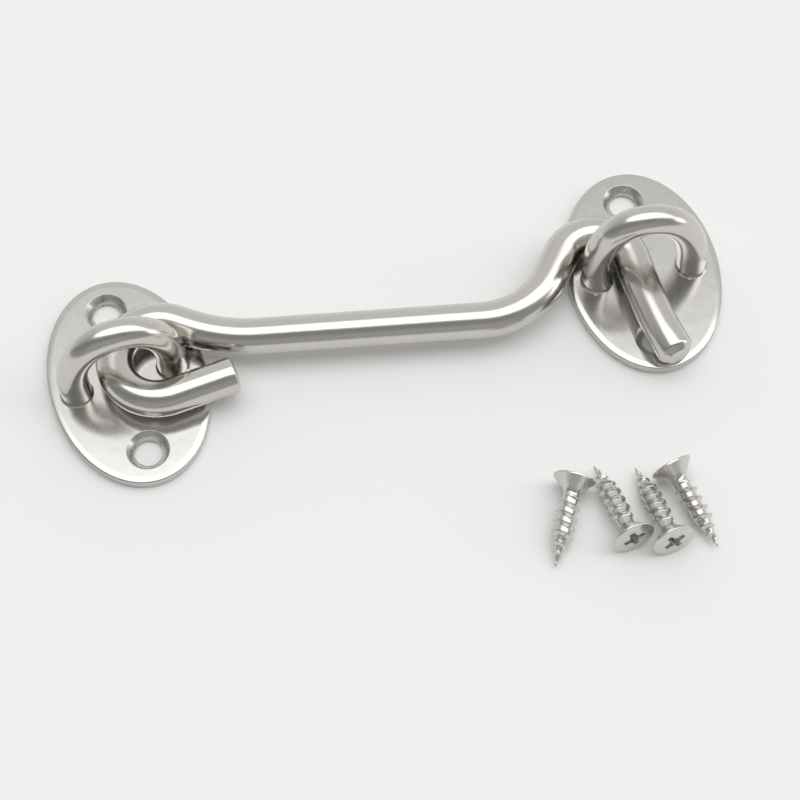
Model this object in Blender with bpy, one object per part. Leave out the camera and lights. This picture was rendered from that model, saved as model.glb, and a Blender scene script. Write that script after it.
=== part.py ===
# Hook and eye latch: an eye plate with its arch and hook, a keeper plate
# with its arch, and four loose wood screws. Metres, Z up.
# The origin is the middle of the eye plate's back face. The plates and the
# screws lie on z = 0. X runs towards the keeper and Y along the line of the
# eye plate's two screw holes.

import math

import bmesh
import bpy
from mathutils import Matrix, Vector


# Driving sizes in metres and angles in degrees

HOOK_ROD_RADIUS = 0.003175
HOOK_TAIL_CHAMFER = 0.0004
HOOK_TIP_CHAMFER = 0.0012
ARCH_ROD_RADIUS = 0.00265

SCREW_LENGTH = 0.0160
SCREW_HEAD_RADIUS = 0.0036
SCREW_HEAD_RIM = 0.00035
SCREW_HEAD_DOME = 0.00025
SCREW_SHANK_RADIUS = 0.00135
SCREW_ROOT_RADIUS = 0.0013
SCREW_CREST_RADIUS = 0.00195
SCREW_PITCH = 0.0017
SCREW_PLAIN_LENGTH = 0.0034
SCREW_TAPER_LENGTH = 0.0054
SCREW_TILT = 9.0
RECESS_DEPTH = 0.0017
RECESS_SPAN = 0.00235
RECESS_ARM = 0.0005

# Gap between pieces that touch, and the room a moving rod has beside a leg
SEAT_GAP = 0.0003
EYE_PLAY = 0.00037
KEEPER_PLAY = 0.0008
HOLE_ROOM = 0.0005
HEAD_ROOM = 0.00002

# Arches, sized round the rod that passes between their legs
ARCH_ROOM = 0.00535
ARCH_LEG_SPACING = 2.0 * (ARCH_ROD_RADIUS + HOOK_ROD_RADIUS) + ARCH_ROOM
ARCH_LEG_HEIGHT = 0.0040
EYE_ARCH_RISE = 0.0114
KEEPER_ARCH_RISE = 0.0132
ARCH_SQUARENESS = 2.2
ARCH_FOOT_FLARE = 0.0003
ARCH_FOOT_HEIGHT = SEAT_GAP + ARCH_FOOT_FLARE
EYE_ARCH_SHIFT = (-0.0005, 0.00015)
KEEPER_ARCH_SHIFT = (0.0, -0.0008)
KEEPER_ARCH_TURN = 2.0
KEEPER_ARCH_LEAN = 5.0

# Oval plates, sized round the arch feet and the screws
FOOT_TO_EDGE = 0.00505
PLATE_HALF_WIDTH = ARCH_LEG_SPACING / 2.0 + FOOT_TO_EDGE
PLATE_HALF_LENGTH = 0.02015
PLATE_THICKNESS = 0.0020
PLATE_EDGE_WIDTH = 0.0012
PLATE_EDGE_DROP = 0.0003
PLATE_BACK_ROUND = 0.0003
HOLE_TO_END = 0.0061
HOLE_OFFSET = PLATE_HALF_LENGTH - HOLE_TO_END
EYE_HOLE_SHIFT = -0.00025
KEEPER_HOLE_SHIFT = -0.0006
HOLE_RADIUS = SCREW_CREST_RADIUS + HOLE_ROOM
COUNTERSINK_RADIUS = SCREW_HEAD_RADIUS + HEAD_ROOM
KEEPER_YAW = -9.5

# Hook, bent run by run from the tail of its eye to its tip
HOOK_HEIGHT = PLATE_THICKNESS + SEAT_GAP + HOOK_ROD_RADIUS
TAIL_HEADING = 183.6
TAIL_RUN = 0.0112
EYE_ROOM = 0.001725
EYE_BEND_RADIUS = HOOK_ROD_RADIUS + ARCH_ROD_RADIUS + EYE_ROOM
EYE_BEND = -221.9
NECK_RUN = 0.0028
NECK_BEND_RADIUS = 0.0277
NECK_BEND = 24.6
SHANK_RUN = 0.0384
OFFSET_BEND_RADIUS = 0.0143
OFFSET_BEND = 61.5
OFFSET_RUN = 0.0054
CREST_BEND_RADIUS = HOOK_ROD_RADIUS + ARCH_ROD_RADIUS + KEEPER_PLAY
CREST_BEND = -141.2
TIP_RUN = 0.0043
TIP_BEND_RADIUS = 0.0760
TIP_BEND = 12.4

# Where the arch legs stand beside the hook
LEG_ALONG_NECK = 0.0017
LEG_PAST_CREST = 0.0006

# Loose screws: place from the middle of the group in head radii, the way the
# tip points, and the turn of the recess
SCREW_GROUP = (0.0732, -0.0499)
SCREWS = (
    ("screw_1", -3.19, 0.33, -121.9, 12.0),
    ("screw_2", -0.70, 0.55, 94.0, 20.0),
    ("screw_3", 1.03, -0.16, 92.4, 35.0),
    ("screw_4", 2.74, -0.78, -80.1, 50.0),
)

ROD_SIDES = 28
ARCH_SIDES = 24
PLATE_SIDES = 80
SCREW_SIDES = 16


# Shared helpers

def clear_scene():
    for thing in list(bpy.data.objects):
        bpy.data.objects.remove(thing, do_unlink=True)


def steel(name, colour, roughness):
    material = bpy.data.materials.new(name)
    material.use_nodes = True
    shader = material.node_tree.nodes["Principled BSDF"]
    shader.inputs["Base Color"].default_value = (*colour, 1.0)
    shader.inputs["Metallic"].default_value = 1.0
    shader.inputs["Roughness"].default_value = roughness
    return material


def plate_steel(name):
    return steel(name, (0.66, 0.65, 0.63), 0.14)


def rod_steel(name):
    return steel(name, (0.63, 0.62, 0.60), 0.12)


def screw_steel(name):
    return steel(name, (0.60, 0.59, 0.57), 0.22)


def make_object(name, bm, material, smooth_angle=35.0):
    bmesh.ops.recalc_face_normals(bm, faces=bm.faces)
    mesh = bpy.data.meshes.new(name)
    for face in bm.faces:
        face.smooth = True
    for edge in bm.edges:
        if len(edge.link_faces) == 2:
            edge.smooth = edge.calc_face_angle() < math.radians(smooth_angle)
    bm.to_mesh(mesh)
    bm.free()
    thing = bpy.data.objects.new(name, mesh)
    thing.data.materials.append(material)
    bpy.context.scene.collection.objects.link(thing)
    return thing


def join_rings(bm, rings):
    """Skin rings of equal length and close both ends with flat faces."""
    for lower, upper in zip(rings, rings[1:]):
        count = len(lower)
        for i in range(count):
            j = (i + 1) % count
            bm.faces.new((lower[i], lower[j], upper[j], upper[i]))
    bm.faces.new(list(reversed(rings[0])))
    bm.faces.new(rings[-1])


def turned(profile, sides):
    """A solid turned about Z from (radius, z) pairs."""
    bm = bmesh.new()
    rings = []
    for radius, z in profile:
        ring = []
        for i in range(sides):
            angle = 2.0 * math.pi * i / sides
            ring.append(bm.verts.new((radius * math.cos(angle), radius * math.sin(angle), z)))
        rings.append(ring)
    join_rings(bm, rings)
    return bm


def rod_along(points, radii, normal, sides):
    """A round rod swept along points that all lie in one plane."""
    bm = bmesh.new()
    rings = []
    last = len(points) - 1
    for k, (point, radius) in enumerate(zip(points, radii)):
        ahead = points[min(k + 1, last)]
        behind = points[max(k - 1, 0)]
        tangent = (ahead - behind).normalized()
        side = normal.cross(tangent).normalized()
        ring = []
        for i in range(sides):
            angle = 2.0 * math.pi * i / sides
            offset = side * math.cos(angle) + normal * math.sin(angle)
            ring.append(bm.verts.new(point + offset * radius))
        rings.append(ring)
    join_rings(bm, rings)
    return bm


def cut_away(target, cutter):
    """Cut one solid out of another and discard the cutter."""
    cutter.hide_render = True
    cutter.display_type = "WIRE"
    modifier = target.modifiers.new("cut", "BOOLEAN")
    modifier.operation = "DIFFERENCE"
    modifier.solver = "EXACT"
    modifier.object = cutter
    bpy.context.view_layer.update()
    graph = bpy.context.evaluated_depsgraph_get()
    result = bpy.data.meshes.new_from_object(target.evaluated_get(graph))
    target.modifiers.clear()
    target.data = result
    bpy.data.objects.remove(cutter, do_unlink=True)


# Base plates

def plate_blank():
    """Oval plate whose face slopes off softly to its edge, with a lightly rounded back."""
    steps = 6
    levels = []
    for k in range(4):
        angle = 0.5 * math.pi * k / 3
        inset = PLATE_BACK_ROUND * (1.0 - math.sin(angle))
        levels.append((inset, PLATE_BACK_ROUND * (1.0 - math.cos(angle))))
    for k in range(steps + 1):
        angle = 0.5 * math.pi * k / steps
        inset = PLATE_EDGE_WIDTH * (1.0 - math.cos(angle))
        levels.append((inset, PLATE_THICKNESS - PLATE_EDGE_DROP * (1.0 - math.sin(angle))))
    bm = bmesh.new()
    rings = []
    for inset, z in levels:
        ring = []
        for i in range(PLATE_SIDES):
            angle = 2.0 * math.pi * i / PLATE_SIDES
            x = (PLATE_HALF_WIDTH - inset) * math.cos(angle)
            y = (PLATE_HALF_LENGTH - inset) * math.sin(angle)
            ring.append(bm.verts.new((x, y, z)))
        rings.append(ring)
    join_rings(bm, rings)
    return bm


def countersink_cutter(x, y):
    depth = COUNTERSINK_RADIUS - HOLE_RADIUS
    over = 0.0005
    profile = (
        (HOLE_RADIUS, -over),
        (HOLE_RADIUS, PLATE_THICKNESS - depth),
        (COUNTERSINK_RADIUS + over, PLATE_THICKNESS + over),
    )
    bm = turned(profile, 40)
    bmesh.ops.translate(bm, verts=bm.verts, vec=(x, y, 0.0))
    return make_object("hole_cutter", bm, None)


def make_plate(name, hole_shift):
    """Plate with two countersunk holes, a little to one side of its long axis."""
    plate = make_object(name, plate_blank(), plate_steel(name + "_steel"), 30.0)
    for y in (-HOLE_OFFSET, HOLE_OFFSET):
        cut_away(plate, countersink_cutter(hole_shift, y))
    return plate


# Arches welded to the plates

def lean_shift(z, lean):
    """How far a leaning arch has moved to its left at a height above its plate."""
    return math.tan(math.radians(lean)) * max(0.0, z - ARCH_FOOT_HEIGHT)


def arch_points(rise, lean):
    """Centre line of the arch, from the left foot over the top to the right foot."""
    half = ARCH_LEG_SPACING / 2.0
    power = 2.0 / ARCH_SQUARENESS
    fine = []
    for k in range(721):
        angle = math.pi * k / 720
        c = math.cos(angle)
        x = -half * math.copysign(abs(c) ** power, c)
        z = ARCH_LEG_HEIGHT + rise * math.sin(angle) ** power
        fine.append(Vector((x - lean_shift(z, lean), 0.0, z)))
    steps = 36
    lengths = [0.0]
    for a, b in zip(fine, fine[1:]):
        lengths.append(lengths[-1] + (b - a).length)
    spaced = []
    k = 0
    for s in range(steps + 1):
        target = lengths[-1] * s / steps
        while k < len(fine) - 2 and lengths[k + 1] < target:
            k += 1
        share = (target - lengths[k]) / (lengths[k + 1] - lengths[k])
        spaced.append(fine[k].lerp(fine[k + 1], share))
    return spaced


def make_arch(name, rise, lean):
    """Bent rod whose feet flare where they are welded to the plate."""
    foot_heights = [SEAT_GAP + ARCH_FOOT_FLARE * f for f in (0.0, 0.12, 0.28, 0.5, 1.0)]
    curve = [p for p in arch_points(rise, lean) if p.z > foot_heights[-1] + 0.0003]
    half = ARCH_LEG_SPACING / 2.0
    left = [Vector((-half, 0.0, z)) for z in foot_heights]
    right = [Vector((half, 0.0, z)) for z in reversed(foot_heights)]
    points = left + curve + right
    radii = []
    for point in points:
        rise = min((point.z - SEAT_GAP) / ARCH_FOOT_FLARE, 1.0)
        flare = ARCH_FOOT_FLARE * (1.0 - math.sqrt(1.0 - (1.0 - rise) ** 2))
        radii.append(ARCH_ROD_RADIUS + flare)
    bm = rod_along(points, radii, Vector((0.0, 1.0, 0.0)), ARCH_SIDES)
    return make_object(name, bm, rod_steel(name + "_steel"), 50.0)


# Hook

class BentRod:
    """Centre line of a rod that is bent in one plane, run by run."""

    def __init__(self, heading):
        self.place = Vector((0.0, 0.0))
        self.heading = math.radians(heading)
        self.points = [self.place.copy()]

    def ahead(self):
        return Vector((math.cos(self.heading), math.sin(self.heading)))

    def right(self):
        return Vector((math.sin(self.heading), -math.cos(self.heading)))

    def run(self, length):
        pieces = max(2, round(length / 0.004))
        for _ in range(pieces):
            self.place = self.place + self.ahead() * (length / pieces)
            self.points.append(self.place.copy())

    def bend(self, radius, degrees):
        pieces = max(3, round(abs(degrees) / 6.0))
        step = math.radians(degrees) / pieces
        chord = 2.0 * radius * math.sin(abs(step) / 2.0)
        for _ in range(pieces):
            self.heading += step / 2.0
            self.place = self.place + self.ahead() * chord
            self.heading += step / 2.0
            self.points.append(self.place.copy())


def hook_layout():
    """Points of the hook and the places of the two legs it goes round,
    moved so that the eye plate's leg is where its arch puts it."""
    rod = BentRod(TAIL_HEADING)
    rod.run(TAIL_RUN)
    rod.bend(EYE_BEND_RADIUS, EYE_BEND)
    beside = HOOK_ROD_RADIUS + ARCH_ROD_RADIUS + EYE_PLAY
    eye_leg = rod.place + rod.ahead() * LEG_ALONG_NECK + rod.right() * beside
    rod.run(NECK_RUN)
    rod.bend(NECK_BEND_RADIUS, NECK_BEND)
    rod.run(SHANK_RUN)
    rod.bend(OFFSET_BEND_RADIUS, OFFSET_BEND)
    rod.run(OFFSET_RUN)
    rod.bend(CREST_BEND_RADIUS, CREST_BEND)
    keeper_leg = rod.place + rod.right() * CREST_BEND_RADIUS + rod.ahead() * LEG_PAST_CREST
    rod.run(TIP_RUN)
    rod.bend(TIP_BEND_RADIUS, TIP_BEND)
    pivot = Vector(EYE_ARCH_SHIFT) + Vector((ARCH_LEG_SPACING / 2.0, 0.0))
    move = pivot - eye_leg
    points = [(p + move).to_3d() + Vector((0.0, 0.0, HOOK_HEIGHT)) for p in rod.points]
    return points, pivot, keeper_leg + move


def chamfered_end(end, before, chamfer):
    """The close rings that ease the edge of a cut end, from the end inwards."""
    inwards = (before - end).normalized()
    rings = []
    for along, inset in ((0.0, 1.0), (0.35, 0.35), (1.0, 0.0)):
        rings.append((end + inwards * chamfer * along, HOOK_ROD_RADIUS - chamfer * inset))
    return rings


def with_chamfered_ends(points):
    """Pair each point with the rod's radius there and ease both ends."""
    tail = chamfered_end(points[0], points[1], HOOK_TAIL_CHAMFER)
    tip = chamfered_end(points[-1], points[-2], HOOK_TIP_CHAMFER)
    middle = [(point, HOOK_ROD_RADIUS) for point in points[1:-1]]
    return tail + middle + list(reversed(tip))


def make_hook(points, pivot):
    """The hook's origin is on the axis of the leg it swings round."""
    axis = Vector((pivot.x, pivot.y, HOOK_HEIGHT))
    rod = with_chamfered_ends(points)
    places = [place - axis for place, _ in rod]
    radii = [radius for _, radius in rod]
    bm = rod_along(places, radii, Vector((0.0, 0.0, 1.0)), ROD_SIDES)
    hook = make_object("hook", bm, rod_steel("hook_steel"), 50.0)
    hook.location = axis
    return hook


# Wood screws

def thread_radius(depth, angle):
    """Radius of the threaded part at a depth below the face of the head."""
    taper = 1.0
    left = SCREW_LENGTH - depth
    if left < SCREW_TAPER_LENGTH:
        taper = left / SCREW_TAPER_LENGTH
    phase = (depth / SCREW_PITCH - angle / (2.0 * math.pi)) % 1.0
    ridge = max(0.0, 1.0 - abs(phase - 0.5) / 0.27)
    run_in = min(1.0, max(0.0, (depth - SCREW_PLAIN_LENGTH) / SCREW_PITCH))
    height = (SCREW_CREST_RADIUS - SCREW_ROOT_RADIUS) * run_in * taper
    return SCREW_ROOT_RADIUS * taper + ridge * height * (1.0 if taper > 0.12 else 0.0) + 0.00006


def screw_body():
    bm = bmesh.new()
    cone = SCREW_HEAD_RADIUS - SCREW_SHANK_RADIUS
    head = (
        (0.35, -SCREW_HEAD_DOME * 0.12),
        (0.65, -SCREW_HEAD_DOME * 0.42),
        (0.9, -SCREW_HEAD_DOME * 0.81),
        (1.0, -SCREW_HEAD_DOME),
    )
    plain = [(SCREW_HEAD_RADIUS * share, z) for share, z in head]
    plain.append((SCREW_HEAD_RADIUS, -SCREW_HEAD_DOME - SCREW_HEAD_RIM))
    plain.append((SCREW_SHANK_RADIUS, -SCREW_HEAD_DOME - SCREW_HEAD_RIM - cone))
    rings = []
    for radius, z in plain:
        ring = []
        for i in range(SCREW_SIDES):
            angle = 2.0 * math.pi * i / SCREW_SIDES
            ring.append(bm.verts.new((radius * math.cos(angle), radius * math.sin(angle), z)))
        rings.append(ring)
    step = SCREW_PITCH / 10.0
    count = int((SCREW_LENGTH - SCREW_PLAIN_LENGTH) / step)
    for k in range(count + 1):
        depth = SCREW_PLAIN_LENGTH + k * step
        ring = []
        for i in range(SCREW_SIDES):
            angle = 2.0 * math.pi * i / SCREW_SIDES
            radius = thread_radius(depth, angle)
            ring.append(bm.verts.new((radius * math.cos(angle), radius * math.sin(angle), -depth)))
        rings.append(ring)
    join_rings(bm, rings)
    return bm


def recess_cutter():
    """A cross that narrows towards its bottom."""
    bm = bmesh.new()
    rings = []
    for z, span, arm in (
        (-RECESS_DEPTH, RECESS_SPAN * 0.35, RECESS_ARM * 0.6),
        (0.0006, RECESS_SPAN, RECESS_ARM),
    ):
        corners = []
        for quarter in range(4):
            turn = Matrix.Rotation(quarter * math.pi / 2.0, 3, "Z")
            for x, y in ((arm, -arm), (span, -arm), (span, arm)):
                corners.append(bm.verts.new(turn @ Vector((x, y, z))))
        rings.append(corners)
    join_rings(bm, rings)
    return make_object("recess_cutter", bm, None)


def make_screw(name, x, y, tip_heading, roll):
    """A countersunk screw lying on its head's rim with its tip low."""
    screw = make_object(name, screw_body(), screw_steel(name + "_steel"), 32.0)
    cut_away(screw, recess_cutter())
    tilt = math.radians(SCREW_TILT)
    heading = math.radians(tip_heading)
    towards_tip = Vector((
        math.cos(heading) * math.cos(tilt),
        math.sin(heading) * math.cos(tilt),
        -math.sin(tilt),
    ))
    rim = SCREW_HEAD_DOME + SCREW_HEAD_RIM
    head_height = SCREW_HEAD_RADIUS * math.cos(tilt) + rim * math.sin(tilt)
    middle = Vector((x, y, 0.0))
    flat = Vector((math.cos(heading), math.sin(heading), 0.0))
    face = middle - flat * (SCREW_LENGTH * math.cos(tilt) / 2.0)
    face.z = head_height
    turn = Vector((0.0, 0.0, -1.0)).rotation_difference(towards_tip).to_matrix().to_4x4()
    spin = Matrix.Rotation(math.radians(roll), 4, "Z")
    screw.matrix_world = Matrix.Translation(face) @ turn @ spin
    return screw


# Assembly

def make_eye_side():
    make_plate("eye_plate", EYE_HOLE_SHIFT)
    arch = make_arch("eye_staple", EYE_ARCH_RISE, 0.0)
    arch.location = (*EYE_ARCH_SHIFT, PLATE_THICKNESS)


def make_keeper_side(leg):
    """The keeper stands where its left leg, at the hook's height, is inside the crest."""
    arch_turn = Matrix.Rotation(math.radians(KEEPER_YAW + KEEPER_ARCH_TURN), 4, "Z")
    plate_turn = Matrix.Rotation(math.radians(KEEPER_YAW), 4, "Z")
    leaned = lean_shift(HOOK_HEIGHT - PLATE_THICKNESS, KEEPER_ARCH_LEAN)
    middle = leg.to_3d() + arch_turn @ Vector((ARCH_LEG_SPACING / 2.0 + leaned, 0.0, 0.0))
    corner = middle - plate_turn @ Vector((*KEEPER_ARCH_SHIFT, 0.0))
    plate = make_plate("keeper_plate", KEEPER_HOLE_SHIFT)
    plate.matrix_world = Matrix.Translation(corner) @ plate_turn
    arch = make_arch("keeper_staple", KEEPER_ARCH_RISE, KEEPER_ARCH_LEAN)
    seat = Vector((middle.x, middle.y, PLATE_THICKNESS))
    arch.matrix_world = Matrix.Translation(seat) @ arch_turn


def main():
    clear_scene()
    make_eye_side()
    points, pivot, keeper_leg = hook_layout()
    make_hook(points, pivot)
    make_keeper_side(keeper_leg)
    for name, across, along, tip_heading, roll in SCREWS:
        x = SCREW_GROUP[0] + across * SCREW_HEAD_RADIUS
        y = SCREW_GROUP[1] + along * SCREW_HEAD_RADIUS
        make_screw(name, x, y, tip_heading, roll)


main()
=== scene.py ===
import math

import bmesh
import bpy
from mathutils import Matrix, Vector


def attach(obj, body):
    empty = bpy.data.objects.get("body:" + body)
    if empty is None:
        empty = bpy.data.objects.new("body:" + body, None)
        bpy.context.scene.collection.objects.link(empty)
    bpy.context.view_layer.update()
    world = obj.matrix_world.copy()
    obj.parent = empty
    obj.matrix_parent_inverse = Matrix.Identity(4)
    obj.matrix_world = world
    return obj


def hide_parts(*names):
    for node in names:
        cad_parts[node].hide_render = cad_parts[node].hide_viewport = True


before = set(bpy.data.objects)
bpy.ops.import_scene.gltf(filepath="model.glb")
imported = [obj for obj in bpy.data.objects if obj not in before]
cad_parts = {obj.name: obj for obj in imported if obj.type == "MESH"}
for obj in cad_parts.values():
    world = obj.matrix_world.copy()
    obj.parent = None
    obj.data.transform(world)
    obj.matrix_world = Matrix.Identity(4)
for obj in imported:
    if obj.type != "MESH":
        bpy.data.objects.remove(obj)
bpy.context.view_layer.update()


# Sizes in metres and angles in degrees, the same as the model's

HOOK_ROD_RADIUS = 0.003175
HOOK_TAIL_CHAMFER = 0.0004
HOOK_TIP_CHAMFER = 0.0012
ARCH_ROD_RADIUS = 0.00265
ARCH_LEG_SPACING = 0.0170
ARCH_LEG_HEIGHT = 0.0040
EYE_ARCH_RISE = 0.0114
KEEPER_ARCH_RISE = 0.0132
ARCH_TOP_ROOM = 0.000015
ARCH_SQUARENESS = 2.2
WELD_FLARE = 0.0003
ARCH_FOOT_HEIGHT = 0.0006
ARCH_FOOT_SUNK = 0.00025
EYE_ARCH_SHIFT = (-0.0005, 0.00015)
KEEPER_ARCH_SHIFT = (0.0, -0.0008)
KEEPER_ARCH_TURN = 2.0
KEEPER_ARCH_LEAN = 5.0

PLATE_HALF_WIDTH = 0.01355
PLATE_HALF_LENGTH = 0.02015
PLATE_THICKNESS = 0.0020
PLATE_EDGE_WIDTH = 0.0012
PLATE_EDGE_DROP = 0.0003
PLATE_BACK_ROUND = 0.0003
PLATE_BACK_RIM = 0.0040
HOLE_OFFSET = 0.01405
EYE_HOLE_SHIFT = -0.00025
KEEPER_HOLE_SHIFT = -0.0006
HOLE_RADIUS = 0.00245
COUNTERSINK_RADIUS = 0.00362
HOLE_LIP = 0.00005
KEEPER_YAW = -9.5

SEAT_GAP = 0.0003
HOOK_HEIGHT = PLATE_THICKNESS + SEAT_GAP + HOOK_ROD_RADIUS
TAIL_HEADING = 183.6
TAIL_RUN = 0.0112
EYE_BEND_RADIUS = 0.00755
EYE_BEND = -221.9
EYE_PLAY = 0.00037
NECK_RUN = 0.0028
NECK_BEND_RADIUS = 0.0277
NECK_BEND = 24.6
SHANK_RUN = 0.0384
OFFSET_BEND_RADIUS = 0.0143
OFFSET_BEND = 61.5
OFFSET_RUN = 0.0054
CREST_BEND_RADIUS = 0.006625
CREST_BEND = -141.2
TIP_RUN = 0.0043
TIP_BEND_RADIUS = 0.0760
TIP_BEND = 12.4
LEG_ALONG_NECK = 0.0017
LEG_PAST_CREST = 0.0006

SCREW_LENGTH = 0.0160
SCREW_HEAD_RADIUS = 0.0036
SCREW_HEAD_RIM = 0.00035
SCREW_HEAD_DOME = 0.00025
SCREW_HEAD_EASING = 0.00008
SCREW_SHANK_RADIUS = 0.00135
SCREW_ROOT_RADIUS = 0.0013
SCREW_CREST_RADIUS = 0.00195
SCREW_PITCH = 0.0017
SCREW_PLAIN_LENGTH = 0.0034
SCREW_TAPER_LENGTH = 0.0054
SCREW_POINT_RADIUS = 0.00004
THREAD_HALF_WIDTH = 0.27
THREAD_HOLLOW = 1.3
THREAD_END = 0.12
SCREW_TILT = 9.0
RECESS_DEPTH = 0.0017
RECESS_SPAN = 0.00235
RECESS_ARM = 0.0005
SCREW_GROUP = (0.0732, -0.0499)
SCREWS = (
    ("screw_1", -3.19, 0.33, -121.9, 12.0),
    ("screw_2", -0.70, 0.55, 94.0, 20.0),
    ("screw_3", 1.03, -0.16, 92.4, 35.0),
    ("screw_4", 2.74, -0.78, -80.1, 50.0),
)

HOOK_SIDES = 64
ARCH_SIDES = 56
ARCH_STEPS = 110
ARCH_SAMPLES = 720
PLATE_SIDES = 160
PLATE_BACK_STEPS = 6
PLATE_EDGE_STEPS = 14
HOLE_SIDES = 72
SCREW_SIDES = 48
THREAD_STEPS_PER_TURN = 22.0


# Light of the room: brightness at angles from the front horizon (0) over the top (90)
# to the back horizon (180), in the middle and on both sides, an oval box and a lamp

ROOM_TURN = 18.33
ROOM_BRIGHTEST = 2.05
ROOM_TINT = (1.0, 0.995, 0.98)
ROOM_MIDDLE = (
    (0.0, 0.44), (12.0, 0.40), (22.0, 0.46), (34.0, 0.42), (44.0, 0.32), (62.0, 0.27),
    (74.0, 0.40), (90.0, 0.80), (112.0, 0.95), (118.0, 0.86),
    (121.0, 0.66), (126.0, 0.70), (133.0, 0.80), (150.0, 0.76), (180.0, 0.85),
)
ROOM_RIGHT = (
    (0.0, 0.40), (30.0, 0.36), (62.0, 0.34), (78.0, 0.70), (100.0, 0.90), (120.0, 0.70), (180.0, 0.80),
)
ROOM_LEFT = (
    (0.0, 0.38), (30.0, 0.32), (62.0, 0.27), (80.0, 0.40), (100.0, 0.48), (120.0, 0.60), (180.0, 0.75),
)
SIDE_RIGHT = (0.40, 0.70)
SIDE_LEFT = (-0.64, -0.40)
BOX_MIDDLE = (0.20, 95.5)
BOX_REACH = (0.74, 21.9)
BOX_RIM = (0.78, 1.22)
BOX_SQUARENESS = 2.4
LAMP_TOWARDS = (0.918, -0.335, 0.207)
LAMP_REACH = (0.960, 0.993)
LAMP_LEVEL = 1.9

CAMERA_PLACE = (-0.00792, -0.17214, 0.31303)
CAMERA_AIM = (0.04333, -0.01746, 0.0)
CAMERA_LENS = 92.5
CAMERA_SENSOR = 36.0
FLOOR_HALF = 1.5
FLOOR_WHITE = (0.94, 0.94, 0.94, 1.0)

NOISE_SPREAD = (0.3, 0.7)
NOISE_DETAIL = 3.0
CLOUD_SCALE = 260.0
CLOUD_DARKEST = 0.965
WAVE_SCALE = 330.0


# Camera, floor and light

def add_camera():
    camera = bpy.data.objects.new("camera", bpy.data.cameras.new("camera"))
    bpy.context.scene.collection.objects.link(camera)
    camera.data.sensor_width = CAMERA_SENSOR
    camera.data.lens = CAMERA_LENS
    camera.data.clip_start = 0.01
    camera.location = CAMERA_PLACE
    aim = Vector(CAMERA_AIM) - camera.location
    camera.rotation_euler = aim.to_track_quat("-Z", "Y").to_euler()
    bpy.context.scene.camera = camera


def add_floor():
    mesh = bpy.data.meshes.new("floor")
    half = FLOOR_HALF
    corners = [(-half, -half, 0.0), (half, -half, 0.0), (half, half, 0.0), (-half, half, 0.0)]
    mesh.from_pydata(corners, [], [(0, 1, 2, 3)])
    floor = bpy.data.objects.new("floor", mesh)
    bpy.context.scene.collection.objects.link(floor)
    material = bpy.data.materials.new("floor_white")
    material.use_nodes = True
    shader = material.node_tree.nodes["Principled BSDF"]
    shader.inputs["Base Color"].default_value = FLOOR_WHITE
    shader.inputs["Roughness"].default_value = 0.9
    shader.inputs["Specular IOR Level"].default_value = 0.0
    mesh.materials.append(material)


def calculate(tree, operation, first, second):
    """A maths node whose inputs are links or plain numbers."""
    node = tree.nodes.new("ShaderNodeMath")
    node.operation = operation
    for socket, value in zip(node.inputs, (first, second)):
        if isinstance(value, (int, float)):
            socket.default_value = value
        else:
            tree.links.new(value, socket)
    return node.outputs[0]


def room_ramp(tree, share, stops):
    """Brightness over the arc from the front horizon over the top to the back horizon."""
    ramp = tree.nodes.new("ShaderNodeValToRGB")
    tree.links.new(share, ramp.inputs["Fac"])
    elements = ramp.color_ramp.elements
    elements.remove(elements[1])
    for k, (degrees, level) in enumerate(stops):
        element = elements[0] if k == 0 else elements.new(degrees / 180.0)
        element.position = degrees / 180.0
        tone = level / ROOM_BRIGHTEST
        element.color = (*[tone * tint for tint in ROOM_TINT], 1.0)
    return ramp.outputs["Color"]


def blend(tree, share, first, second):
    """Mix two colours."""
    node = tree.nodes.new("ShaderNodeMix")
    node.data_type = "RGBA"
    tree.links.new(share, node.inputs["Factor"])
    tree.links.new(first, node.inputs[6])
    tree.links.new(second, node.inputs[7])
    return node.outputs[2]


def fade(tree, value, start, end):
    """Go smoothly from 0 to 1 as a value goes from start to end."""
    node = tree.nodes.new("ShaderNodeMapRange")
    node.interpolation_type = "SMOOTHSTEP"
    node.inputs["From Min"].default_value = start
    node.inputs["From Max"].default_value = end
    tree.links.new(value, node.inputs["Value"])
    return node.outputs["Result"]


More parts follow.
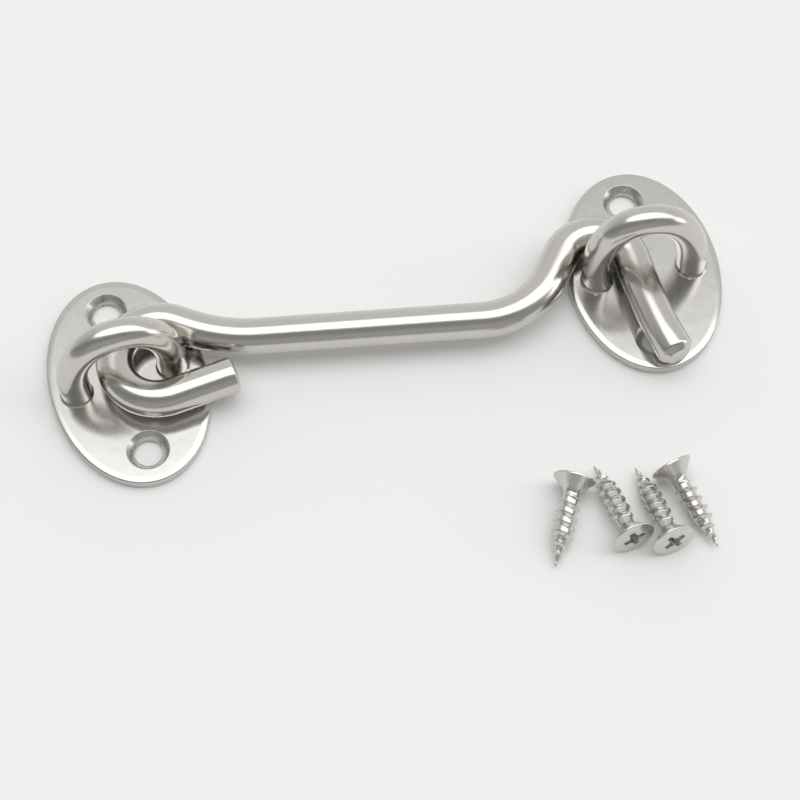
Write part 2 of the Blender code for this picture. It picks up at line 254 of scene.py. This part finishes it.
def add_world():
    """A soft box overhead in a grey room that is darker in front, with a small lamp low on the right."""
    world = bpy.data.worlds.new("studio")
    world.use_nodes = True
    bpy.context.scene.world = world
    tree = world.node_tree
    tree.nodes.clear()
    place = tree.nodes.new("ShaderNodeTexCoord")
    turn = tree.nodes.new("ShaderNodeVectorRotate")
    turn.rotation_type = "Z_AXIS"
    turn.inputs["Angle"].default_value = math.radians(ROOM_TURN)
    tree.links.new(place.outputs["Generated"], turn.inputs["Vector"])
    split = tree.nodes.new("ShaderNodeSeparateXYZ")
    tree.links.new(turn.outputs["Vector"], split.inputs["Vector"])
    front = calculate(tree, "MULTIPLY", split.outputs["Y"], -1.0)
    arc = calculate(tree, "ARCTAN2", split.outputs["Z"], front)
    share = calculate(tree, "DIVIDE", arc, math.pi)
    middle = room_ramp(tree, share, ROOM_MIDDLE)
    left = room_ramp(tree, share, ROOM_LEFT)
    right = room_ramp(tree, share, ROOM_RIGHT)
    sideways = split.outputs["X"]
    colour = blend(tree, fade(tree, sideways, *SIDE_RIGHT), middle, right)
    colour = blend(tree, fade(tree, sideways, *SIDE_LEFT), left, colour)
    across = calculate(tree, "SUBTRACT", sideways, BOX_MIDDLE[0])
    across = calculate(tree, "DIVIDE", across, BOX_REACH[0])
    along = calculate(tree, "SUBTRACT", arc, math.radians(BOX_MIDDLE[1]))
    along = calculate(tree, "DIVIDE", along, math.radians(BOX_REACH[1]))
    across = calculate(tree, "POWER", calculate(tree, "ABSOLUTE", across, 0.0), BOX_SQUARENESS)
    along = calculate(tree, "POWER", calculate(tree, "ABSOLUTE", along, 0.0), BOX_SQUARENESS)
    beyond = calculate(tree, "ADD", across, along)
    box = tree.nodes.new("ShaderNodeRGB")
    box.outputs[0].default_value = (*ROOM_TINT, 1.0)
    colour = blend(tree, fade(tree, beyond, *BOX_RIM), box.outputs[0], colour)
    glow = tree.nodes.new("ShaderNodeVectorMath")
    glow.operation = "DOT_PRODUCT"
    glow.inputs[1].default_value = LAMP_TOWARDS
    tree.links.new(place.outputs["Generated"], glow.inputs[0])
    lamp = tree.nodes.new("ShaderNodeRGB")
    lamp.outputs[0].default_value = (*[LAMP_LEVEL / ROOM_BRIGHTEST] * 3, 1.0)
    colour = blend(tree, fade(tree, glow.outputs["Value"], *LAMP_REACH), colour, lamp.outputs[0])
    light = tree.nodes.new("ShaderNodeBackground")
    light.inputs["Strength"].default_value = ROOM_BRIGHTEST
    tree.links.new(colour, light.inputs["Color"])
    output = tree.nodes.new("ShaderNodeOutputWorld")
    tree.links.new(light.outputs[0], output.inputs["Surface"])


# Materials

def noise(tree, source, scale, detail, stretch=(1.0, 1.0, 1.0)):
    """Noise over a coordinate, stretched by unequal scales."""
    spread = tree.nodes.new("ShaderNodeMapping")
    spread.inputs["Scale"].default_value = stretch
    tree.links.new(source, spread.inputs["Vector"])
    node = tree.nodes.new("ShaderNodeTexNoise")
    node.inputs["Scale"].default_value = scale
    node.inputs["Detail"].default_value = detail
    tree.links.new(spread.outputs["Vector"], node.inputs["Vector"])
    return node.outputs["Fac"]


def between(tree, source, low, high):
    """Spread a noise signal over a range."""
    node = tree.nodes.new("ShaderNodeMapRange")
    node.inputs["From Min"].default_value = NOISE_SPREAD[0]
    node.inputs["From Max"].default_value = NOISE_SPREAD[1]
    node.inputs["To Min"].default_value = low
    node.inputs["To Max"].default_value = high
    tree.links.new(source, node.inputs["Value"])
    return node.outputs["Result"]


def bump(tree, source, distance, before=None):
    """Dents of a depth, on top of those before them."""
    node = tree.nodes.new("ShaderNodeBump")
    node.inputs["Strength"].default_value = 1.0
    node.inputs["Distance"].default_value = distance
    tree.links.new(source, node.inputs["Height"])
    if before:
        tree.links.new(before, node.inputs["Normal"])
    return node.outputs["Normal"]


def steel(name, colour, roughness, grain_stretch, grain_depth, wave_depth):
    """Bright stainless steel with lines along its laid-out surface and a slightly uneven face."""
    material = bpy.data.materials.new(name)
    material.use_nodes = True
    tree = material.node_tree
    shader = tree.nodes["Principled BSDF"]
    shader.inputs["Metallic"].default_value = 1.0
    place = tree.nodes.new("ShaderNodeTexCoord")
    grain = noise(tree, place.outputs["UV"], 1.0, NOISE_DETAIL, grain_stretch)
    cloud = noise(tree, place.outputs["Object"], CLOUD_SCALE, NOISE_DETAIL)
    tone = tree.nodes.new("ShaderNodeValToRGB")
    darkest, brightest = tone.color_ramp.elements
    darkest.position, brightest.position = NOISE_SPREAD
    darkest.color = (*[c * CLOUD_DARKEST for c in colour], 1.0)
    brightest.color = (*colour, 1.0)
    tree.links.new(cloud, tone.inputs["Fac"])
    tree.links.new(tone.outputs["Color"], shader.inputs["Base Color"])
    rough_grain = between(tree, grain, roughness[0], roughness[1])
    tree.links.new(rough_grain, shader.inputs["Roughness"])
    wave = noise(tree, place.outputs["Object"], WAVE_SCALE, 1.0)
    normal = bump(tree, wave, wave_depth)
    normal = bump(tree, grain, grain_depth, normal)
    tree.links.new(normal, shader.inputs["Normal"])
    return material


def rod_steel(name):
    """Polished rod with faint lines round it."""
    return steel(
        name, colour=(0.63, 0.615, 0.58), roughness=(0.15, 0.23),
        grain_stretch=(900.0, 9000.0, 1.0), grain_depth=0.000001, wave_depth=0.000014,
    )


def plate_steel(name):
    """Polished plate with faint lines along it."""
    return steel(
        name, colour=(0.63, 0.62, 0.60), roughness=(0.15, 0.22),
        grain_stretch=(5000.0, 700.0, 1.0), grain_depth=0.000001, wave_depth=0.000010,
    )


def drilled_steel(name):
    """Turned faces of the screw holes, rougher than the plate."""
    return steel(
        name, colour=(0.58, 0.57, 0.55), roughness=(0.20, 0.32),
        grain_stretch=(150.0, 1500.0, 1.0), grain_depth=0.000035, wave_depth=0.000006,
    )


def screw_steel(name):
    """Bright steel of the screws, a little rougher than the rods."""
    return steel(
        name, colour=(0.66, 0.65, 0.62), roughness=(0.20, 0.29),
        grain_stretch=(900.0, 5000.0, 1.0), grain_depth=0.000001, wave_depth=0.000006,
    )


def recess_shade_steel(name):
    """Rougher steel of the recess, its colour darkened as painted shade in the hollow."""
    return steel(
        name, colour=(0.34, 0.33, 0.31), roughness=(0.25, 0.40),
        grain_stretch=(2000.0, 5000.0, 1.0), grain_depth=0.000002, wave_depth=0.000006,
    )


# Mesh helpers

def make_piece(name, bm, material, body, stands_for, smooth_angle=35.0):
    """An object of its own with smooth faces and crisp edges; a cutter rides on no body."""
    bmesh.ops.recalc_face_normals(bm, faces=bm.faces)
    for face in bm.faces:
        face.smooth = True
    for edge in bm.edges:
        if len(edge.link_faces) == 2:
            edge.smooth = edge.calc_face_angle() < math.radians(smooth_angle)
    mesh = bpy.data.meshes.new(name)
    bm.to_mesh(mesh)
    bm.free()
    piece = bpy.data.objects.new(name, mesh)
    mesh.materials.append(material)
    bpy.context.scene.collection.objects.link(piece)
    if body:
        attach(piece, body)
        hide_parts(stands_for)
    return piece


def oval_ring(bm, sides, across, along, z):
    """A level ring of corners round the Z axis."""
    ring = []
    for i in range(sides):
        angle = 2.0 * math.pi * i / sides
        ring.append(bm.verts.new((across * math.cos(angle), along * math.sin(angle), z)))
    return ring


def join_rings(bm, rings, uv_rows=None):
    """Skin rings of equal length, close both ends and lay out a UV grid."""
    layer = bm.loops.layers.uv.verify()
    count = len(rings[0])
    for k in range(len(rings) - 1):
        lower, upper = rings[k], rings[k + 1]
        for i in range(count):
            j = (i + 1) % count
            face = bm.faces.new((lower[i], lower[j], upper[j], upper[i]))
            if uv_rows:
                low, around = uv_rows[k]
                high = uv_rows[k + 1][0]
                left = around * i / count
                right = around * (i + 1) / count
                for loop, uv in zip(face.loops, ((low, left), (low, right), (high, right), (high, left))):
                    loop[layer].uv = uv
    bm.faces.new(list(reversed(rings[0])))
    bm.faces.new(rings[-1])


def rod_along(path, normal, sides):
    """A round rod swept along (point, radius) pairs that lie in one plane."""
    bm = bmesh.new()
    rings = []
    rows = []
    last = len(path) - 1
    length = 0.0
    for k, (point, radius) in enumerate(path):
        ahead = path[min(k + 1, last)][0]
        behind = path[max(k - 1, 0)][0]
        tangent = (ahead - behind).normalized()
        side = normal.cross(tangent).normalized()
        ring = []
        for i in range(sides):
            angle = 2.0 * math.pi * i / sides
            offset = side * math.cos(angle) + normal * math.sin(angle)
            ring.append(bm.verts.new(point + offset * radius))
        rings.append(ring)
        if k:
            length += (point - path[k - 1][0]).length
        rows.append((length, 2.0 * math.pi * HOOK_ROD_RADIUS))
    join_rings(bm, rings, rows)
    return bm


def turned(profile, sides):
    """A solid turned from (radius, height) pairs."""
    bm = bmesh.new()
    rows = [(z, 2.0 * math.pi * profile[1][0]) for _, z in profile]
    rings = [oval_ring(bm, sides, radius, radius, z) for radius, z in profile]
    join_rings(bm, rings, rows)
    return bm


def cut_away(target, cutter):
    """Cut one solid out of another, whose cut faces take the cutter's material."""
    modifier = target.modifiers.new("cut", "BOOLEAN")
    modifier.material_mode = "TRANSFER"
    modifier.operation = "DIFFERENCE"
    modifier.solver = "EXACT"
    modifier.object = cutter
    bpy.context.view_layer.update()
    graph = bpy.context.evaluated_depsgraph_get()
    result = bpy.data.meshes.new_from_object(target.evaluated_get(graph))
    target.modifiers.clear()
    target.data = result
    bpy.data.objects.remove(cutter, do_unlink=True)


# Plates

def plate_blank():
    """Oval plate whose face slopes off softly to its edge, with a rounded back edge."""
    levels = [(PLATE_BACK_RIM, 0.0)]
    for k in range(PLATE_BACK_STEPS + 1):
        angle = 0.5 * math.pi * k / PLATE_BACK_STEPS
        inset = PLATE_BACK_ROUND * (1.0 - math.sin(angle))
        levels.append((inset, PLATE_BACK_ROUND * (1.0 - math.cos(angle))))
    for k in range(PLATE_EDGE_STEPS + 1):
        angle = 0.5 * math.pi * k / PLATE_EDGE_STEPS
        inset = PLATE_EDGE_WIDTH * (1.0 - math.cos(angle))
        levels.append((inset, PLATE_THICKNESS - PLATE_EDGE_DROP * (1.0 - math.sin(angle))))
    bm = bmesh.new()
    rings = []
    for inset, z in levels:
        rings.append(oval_ring(bm, PLATE_SIDES, PLATE_HALF_WIDTH - inset, PLATE_HALF_LENGTH - inset, z))
    join_rings(bm, rings)
    return bm


def countersink_cutter(x, y, material):
    """Cone and hole with a softened lip."""
    top = PLATE_THICKNESS
    slope = COUNTERSINK_RADIUS - HOLE_RADIUS
    lip = HOLE_LIP
    profile = (
        (HOLE_RADIUS + 0.0004, -0.0004),
        (HOLE_RADIUS, 0.0002),
        (HOLE_RADIUS, top - slope - lip),
        (HOLE_RADIUS + lip * 0.3, top - slope),
        (COUNTERSINK_RADIUS - lip * 0.4, top - lip),
        (COUNTERSINK_RADIUS + lip * 0.5, top - lip * 0.25),
        (COUNTERSINK_RADIUS + lip * 3.0, top + lip * 0.35),
        (COUNTERSINK_RADIUS + lip * 4.0, top + 0.0006),
    )
    bm = turned(profile, HOLE_SIDES)
    bmesh.ops.translate(bm, verts=bm.verts, vec=(x, y, 0.0))
    return make_piece("hole_cutter", bm, material, None, None)


def flatten_face_normals(mesh):
    """Keep the face of the plate exactly flat in the light."""
    flat_edge = PLATE_THICKNESS - 0.000001
    normals = [Vector(loop.normal) for loop in mesh.loops]
    for polygon in mesh.polygons:
        if polygon.normal.z > 0.9999:
            for index in polygon.loop_indices:
                if mesh.vertices[mesh.loops[index].vertex_index].co.z > flat_edge:
                    normals[index] = Vector((0.0, 0.0, 1.0))
    mesh.normals_split_custom_set([tuple(n) for n in normals])


def make_plate(name, node, body, hole_shift, place):
    """Oval plate with two countersunk screw holes, laid out along its face."""
    face = plate_steel(name + "_steel")
    drilled = drilled_steel(name + "_drilled")
    plate = make_piece(name, plate_blank(), face, None, None, 30.0)
    for y in (-HOLE_OFFSET, HOLE_OFFSET):
        cut_away(plate, countersink_cutter(hole_shift, y, drilled))
    mesh = plate.data
    layer = mesh.uv_layers.active or mesh.uv_layers.new(name="UVMap")
    for polygon in mesh.polygons:
        if polygon.material_index == 0:
            for index in polygon.loop_indices:
                x, y, z = mesh.vertices[mesh.loops[index].vertex_index].co
                layer.data[index].uv = (x, y)
    flatten_face_normals(mesh)
    mesh.transform(place)
    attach(plate, body)
    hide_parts(node)
    return plate


# Arches

def lean_shift(z, lean):
    """How far a leaning arch has moved to its left at a height above its plate."""
    return math.tan(math.radians(lean)) * max(0.0, z - ARCH_FOOT_HEIGHT)


def arch_curve(rise, lean):
    """Centre line of the arch above the plate's face, left foot to right foot."""
    half = ARCH_LEG_SPACING / 2.0
    power = 2.0 / ARCH_SQUARENESS
    fine = []
    for k in range(ARCH_SAMPLES + 1):
        angle = math.pi * k / ARCH_SAMPLES
        c = math.cos(angle)
        x = -half * math.copysign(abs(c) ** power, c)
        z = ARCH_LEG_HEIGHT + (rise - ARCH_TOP_ROOM) * math.sin(angle) ** power
        fine.append(Vector((x - lean_shift(z, lean), 0.0, z)))
    lengths = [0.0]
    for a, b in zip(fine, fine[1:]):
        lengths.append(lengths[-1] + (b - a).length)
    spaced = []
    k = 0
    for s in range(ARCH_STEPS + 1):
        target = lengths[-1] * s / ARCH_STEPS
        while k < len(fine) - 2 and lengths[k + 1] < target:
            k += 1
        share = (target - lengths[k]) / (lengths[k + 1] - lengths[k])
        spaced.append(fine[k].lerp(fine[k + 1], share))
    return spaced


def make_arch(name, node, body, rise, lean, place):
    """Bent rod whose feet flare into a small weld and reach just into the plate."""
    half = ARCH_LEG_SPACING / 2.0
    levels = [-ARCH_FOOT_SUNK]
    levels += [ARCH_FOOT_HEIGHT * k / 10 for k in range(11)]
    levels += [0.0012, 0.0018, 0.0026, 0.0034]
    points = [Vector((-half - lean_shift(z, lean), 0.0, z)) for z in levels]
    points += arch_curve(rise, lean)
    points += [Vector((half - lean_shift(z, lean), 0.0, z)) for z in reversed(levels)]
    path = []
    for point in points:
        share = max(0.0, min(point.z / ARCH_FOOT_HEIGHT, 1.0))
        flare = WELD_FLARE * (1.0 - math.sqrt(1.0 - (1.0 - share) ** 2))
        path.append((point, ARCH_ROD_RADIUS + flare))
    bm = rod_along(path, Vector((0.0, 1.0, 0.0)), ARCH_SIDES)
    bmesh.ops.transform(bm, matrix=place, verts=bm.verts)
    return make_piece(name, bm, rod_steel(name + "_steel"), body, node, 60.0)


# Hook

class BentRod:
    """Centre line of a rod that is bent in one plane, run by run."""

    def __init__(self, heading):
        self.place = Vector((0.0, 0.0))
        self.heading = math.radians(heading)
        self.points = [self.place.copy()]

    def ahead(self):
        return Vector((math.cos(self.heading), math.sin(self.heading)))

    def right(self):
        return Vector((math.sin(self.heading), -math.cos(self.heading)))

    def run(self, length):
        pieces = max(2, round(length / 0.001))
        for _ in range(pieces):
            self.place = self.place + self.ahead() * (length / pieces)
            self.points.append(self.place.copy())

    def bend(self, radius, degrees):
        pieces = max(6, round(abs(degrees) / 2.0))
        step = math.radians(degrees) / pieces
        chord = 2.0 * radius * math.sin(abs(step) / 2.0)
        for _ in range(pieces):
            self.heading += step / 2.0
            self.place = self.place + self.ahead() * chord
            self.heading += step / 2.0
            self.points.append(self.place.copy())


def hook_layout():
    """Centre line of the hook from tail to tip, and where the keeper's near leg stands."""
    rod = BentRod(TAIL_HEADING)
    rod.run(TAIL_RUN)
    rod.bend(EYE_BEND_RADIUS, EYE_BEND)
    beside = HOOK_ROD_RADIUS + ARCH_ROD_RADIUS + EYE_PLAY
    eye_leg = rod.place + rod.ahead() * LEG_ALONG_NECK + rod.right() * beside
    rod.run(NECK_RUN)
    rod.bend(NECK_BEND_RADIUS, NECK_BEND)
    rod.run(SHANK_RUN)
    rod.bend(OFFSET_BEND_RADIUS, OFFSET_BEND)
    rod.run(OFFSET_RUN)
    rod.bend(CREST_BEND_RADIUS, CREST_BEND)
    keeper_leg = rod.place + rod.right() * CREST_BEND_RADIUS + rod.ahead() * LEG_PAST_CREST
    rod.run(TIP_RUN)
    rod.bend(TIP_BEND_RADIUS, TIP_BEND)
    pivot = Vector(EYE_ARCH_SHIFT) + Vector((ARCH_LEG_SPACING / 2.0, 0.0))
    move = pivot - eye_leg
    points = [(p + move).to_3d() + Vector((0.0, 0.0, HOOK_HEIGHT)) for p in rod.points]
    return points, keeper_leg + move


def eased_end(end, before, chamfer):
    """Close rings that ease the edge of a cut end, from the end inwards."""
    inwards = (before - end).normalized()
    soft = chamfer * 0.22
    steps = (
        (0.0, chamfer + soft * 0.3),
        (soft * 0.12, chamfer),
        (soft * 0.5, chamfer - soft * 0.35),
        (chamfer * 0.5, chamfer * 0.42),
        (chamfer * 0.8, chamfer * 0.13),
        (chamfer, chamfer * 0.03),
        (chamfer * 1.2, 0.0),
    )
    return [(end + inwards * along, HOOK_ROD_RADIUS - inset) for along, inset in steps]


def with_eased_ends(points):
    """Pair each point with the rod's radius there and ease both ends."""
    tail = eased_end(points[0], points[1], HOOK_TAIL_CHAMFER)
    tip = eased_end(points[-1], points[-2], HOOK_TIP_CHAMFER)
    middle = [(p, HOOK_ROD_RADIUS) for p in points[2:-2]]
    return tail + middle + list(reversed(tip))


def make_hook(points):
    """Round rod along the hook's centre line."""
    bm = rod_along(with_eased_ends(points), Vector((0.0, 0.0, 1.0)), HOOK_SIDES)
    return make_piece("hook_rod", bm, rod_steel("hook_steel"), "hook", "hook", 50.0)


# Screws

def thread_radius(depth, angle):
    """Radius of the threaded part at a depth below the head's face."""
    taper = 1.0
    left = SCREW_LENGTH - depth
    if left < SCREW_TAPER_LENGTH:
        taper = left / SCREW_TAPER_LENGTH
    phase = (depth / SCREW_PITCH - angle / (2.0 * math.pi)) % 1.0
    ridge = max(0.0, 1.0 - abs(phase - 0.5) / THREAD_HALF_WIDTH) ** THREAD_HOLLOW
    run_in = min(1.0, max(0.0, (depth - SCREW_PLAIN_LENGTH) / SCREW_PITCH))
    height = (SCREW_CREST_RADIUS - SCREW_ROOT_RADIUS) * run_in * taper
    crest = ridge * height * min(1.0, taper / THREAD_END)
    return SCREW_ROOT_RADIUS * taper + crest + SCREW_POINT_RADIUS


def head_profile():
    """(radius, height) pairs of the domed head, its eased rim, the cone and the neck."""
    cone = SCREW_HEAD_RADIUS - SCREW_SHANK_RADIUS
    dome = SCREW_HEAD_DOME
    edge = SCREW_HEAD_EASING
    profile = []
    for share in (0.15, 0.3, 0.45, 0.6, 0.72, 0.83, 0.92):
        profile.append((SCREW_HEAD_RADIUS * share, -dome * share ** 2.2))
    profile.append((SCREW_HEAD_RADIUS - edge, -dome))
    profile.append((SCREW_HEAD_RADIUS - edge * 0.3, -dome - edge * 0.4))
    profile.append((SCREW_HEAD_RADIUS, -dome - edge * 1.2))
    profile.append((SCREW_HEAD_RADIUS, -dome - SCREW_HEAD_RIM))
    for share in (0.25, 0.5, 0.7, 0.84):
        profile.append((SCREW_HEAD_RADIUS - cone * share, -dome - SCREW_HEAD_RIM - cone * share))
    base = dome + SCREW_HEAD_RIM + cone
    profile.append((SCREW_SHANK_RADIUS + cone * 0.07, -base + cone * 0.05))
    profile.append((SCREW_SHANK_RADIUS + cone * 0.015, -base - cone * 0.04))
    profile.append((SCREW_SHANK_RADIUS, -base - cone * 0.14))
    return profile


def screw_body():
    """Screw along -Z with the middle of its face at the origin."""
    bm = bmesh.new()
    around = 2.0 * math.pi * SCREW_SHANK_RADIUS
    rings = []
    rows = []
    for radius, z in head_profile():
        rings.append(oval_ring(bm, SCREW_SIDES, radius, radius, z))
        rows.append((-z, around))
    step = SCREW_PITCH / THREAD_STEPS_PER_TURN
    start = SCREW_PLAIN_LENGTH - SCREW_PITCH * 0.4
    count = int((SCREW_LENGTH - start) / step)
    for k in range(count + 1):
        depth = start + k * step
        ring = []
        for i in range(SCREW_SIDES):
            angle = 2.0 * math.pi * i / SCREW_SIDES
            radius = thread_radius(depth, angle)
            ring.append(bm.verts.new((radius * math.cos(angle), radius * math.sin(angle), -depth)))
        rings.append(ring)
        rows.append((depth, around))
    join_rings(bm, rings, rows)
    return bm


def recess_cutter(material):
    """A cross that narrows towards its bottom."""
    bm = bmesh.new()
    rings = []
    for z, span, arm in (
        (-RECESS_DEPTH, RECESS_SPAN * 0.22, RECESS_ARM * 0.5),
        (-RECESS_DEPTH * 0.8, RECESS_SPAN * 0.45, RECESS_ARM * 0.72),
        (0.0006, RECESS_SPAN, RECESS_ARM),
    ):
        corners = []
        for quarter in range(4):
            turn = Matrix.Rotation(quarter * math.pi / 2.0, 3, "Z")
            root = arm * 1.5
            neck = arm * 2.4
            for x, y in ((root, -root), (neck, -arm), (span, -arm), (span, arm), (neck, arm)):
                corners.append(bm.verts.new(turn @ Vector((x, y, z))))
        rings.append(corners)
    join_rings(bm, rings)
    return make_piece("recess_cutter", bm, material, None, None)


def make_screw(node, x, y, tip_heading, roll):
    """A countersunk screw lying on its head's rim with its tip low."""
    screw = make_piece(node + "_fine", screw_body(), screw_steel(node + "_steel"), None, None, 40.0)
    # The recess's cut faces take a darker steel colour: painted shade inside the cross.
    cut_away(screw, recess_cutter(recess_shade_steel(node + "_recess")))
    tilt = math.radians(SCREW_TILT)
    heading = math.radians(tip_heading)
    level = Vector((math.cos(heading), math.sin(heading), 0.0))
    towards_tip = level * math.cos(tilt) - Vector((0.0, 0.0, math.sin(tilt)))
    rim = SCREW_HEAD_DOME + SCREW_HEAD_RIM
    face = Vector((x, y, 0.0)) - level * (SCREW_LENGTH * math.cos(tilt) / 2.0)
    face.z = SCREW_HEAD_RADIUS * math.cos(tilt) + rim * math.sin(tilt)
    turn = Vector((0.0, 0.0, -1.0)).rotation_difference(towards_tip).to_matrix().to_4x4()
    spin = Matrix.Rotation(math.radians(roll), 4, "Z")
    screw.data.transform(Matrix.Translation(face) @ turn @ spin)
    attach(screw, node)
    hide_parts(node)


# Assembly

add_camera()
add_floor()
add_world()
bpy.context.scene.view_settings.view_transform = "Standard"

points, keeper_leg = hook_layout()
eye_seat = Matrix.Translation((*EYE_ARCH_SHIFT, PLATE_THICKNESS))
make_plate("eye_plate_fine", "eye_plate", "eye_side", EYE_HOLE_SHIFT, Matrix.Identity(4))
make_arch("eye_arch", "eye_staple", "eye_side", EYE_ARCH_RISE, 0.0, eye_seat)
make_hook(points)

arch_turn = Matrix.Rotation(math.radians(KEEPER_YAW + KEEPER_ARCH_TURN), 4, "Z")
plate_turn = Matrix.Rotation(math.radians(KEEPER_YAW), 4, "Z")
leaned = lean_shift(HOOK_HEIGHT - PLATE_THICKNESS, KEEPER_ARCH_LEAN)
middle = keeper_leg.to_3d() + arch_turn @ Vector((ARCH_LEG_SPACING / 2.0 + leaned, 0.0, 0.0))
corner = middle - plate_turn @ Vector((*KEEPER_ARCH_SHIFT, 0.0))
keeper_seat = Matrix.Translation((middle.x, middle.y, PLATE_THICKNESS)) @ arch_turn
keeper_place = Matrix.Translation(corner) @ plate_turn
make_plate("keeper_plate_fine", "keeper_plate", "keeper", KEEPER_HOLE_SHIFT, keeper_place)
make_arch("keeper_arch", "keeper_staple", "keeper", KEEPER_ARCH_RISE, KEEPER_ARCH_LEAN, keeper_seat)

for name, across, along, tip_heading, roll in SCREWS:
    x = SCREW_GROUP[0] + across * SCREW_HEAD_RADIUS
    y = SCREW_GROUP[1] + along * SCREW_HEAD_RADIUS
    make_screw(name, x, y, tip_heading, roll)
